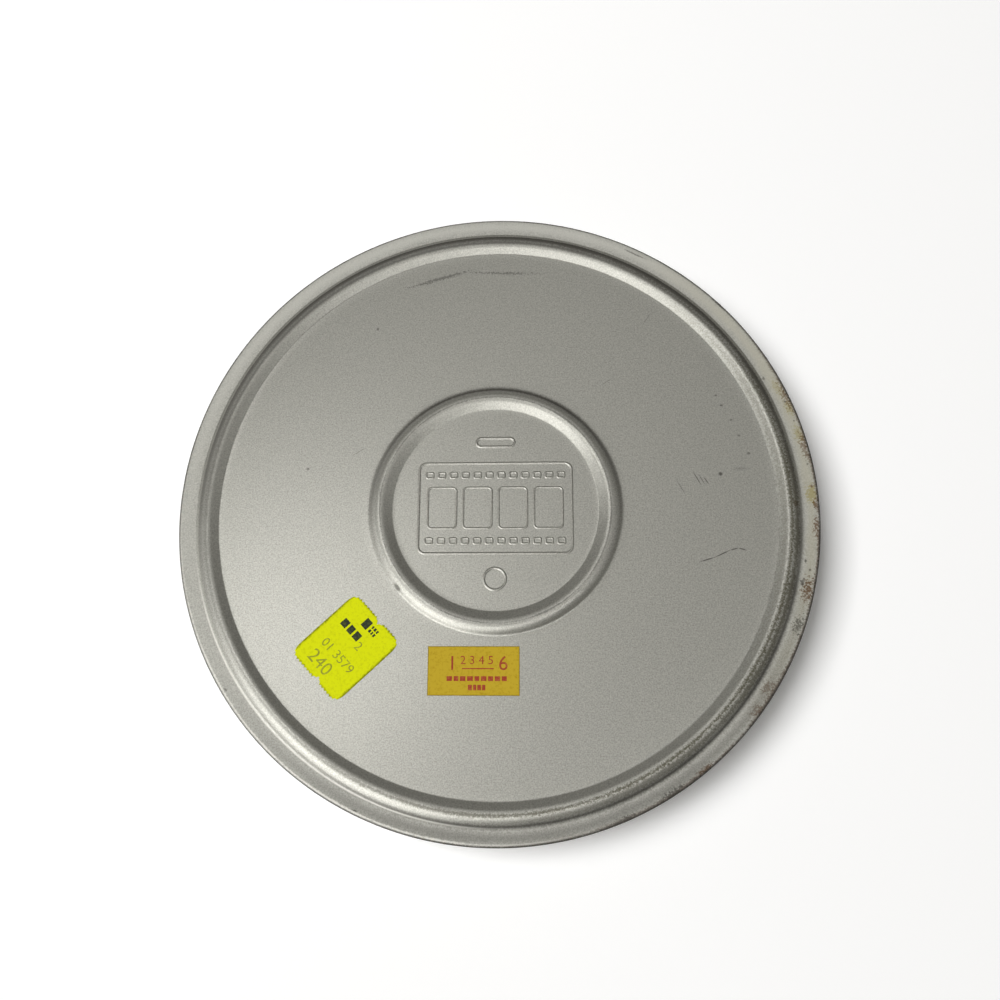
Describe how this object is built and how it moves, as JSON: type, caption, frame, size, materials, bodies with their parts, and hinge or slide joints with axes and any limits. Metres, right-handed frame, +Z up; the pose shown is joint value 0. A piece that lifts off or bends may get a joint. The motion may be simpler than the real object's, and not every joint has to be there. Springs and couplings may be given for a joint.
{
  "type": "film reel can",
  "caption": "Round pressed-steel can with a slip-over lid, raised ring beads and paper labels, which stores a plastic take-up reel for narrow-gauge film.",
  "frame": {"origin": "on the resting plane, under the middle of the can", "axes": "+Z up out of the lid, along the axis of the can and of the reel; the two labels lie towards -Y"},
  "size_m": [0.184, 0.184, 0.018],
  "materials": {
    "silver_lacquer": "worn silver lacquer on pressed steel",
    "gold_paper": "gloss paper",
    "yellow_paper": "fluorescent paper",
    "reel_plastic": "moulded grey plastic"
  },
  "bodies": {
    "base": {"can_base": "silver_lacquer"},
    "lid": {"can_lid": "silver_lacquer", "title_label": "gold_paper", "price_label": "yellow_paper"},
    "reel": {"reel_lower_flange": "reel_plastic", "reel_upper_flange": "reel_plastic", "reel_core": "reel_plastic"}
  },
  "joints": [
    {"name": "lid_lift", "type": "slide", "parent": "base", "child": "lid", "axis": [0, 0, 1], "range_m": [0, 0.12]},
    {"name": "reel_turn", "type": "hinge", "parent": "base", "child": "reel", "pos_m": [0, 0, 0.0083], "axis": [0, 0, 1], "continuous": true}
  ]
}
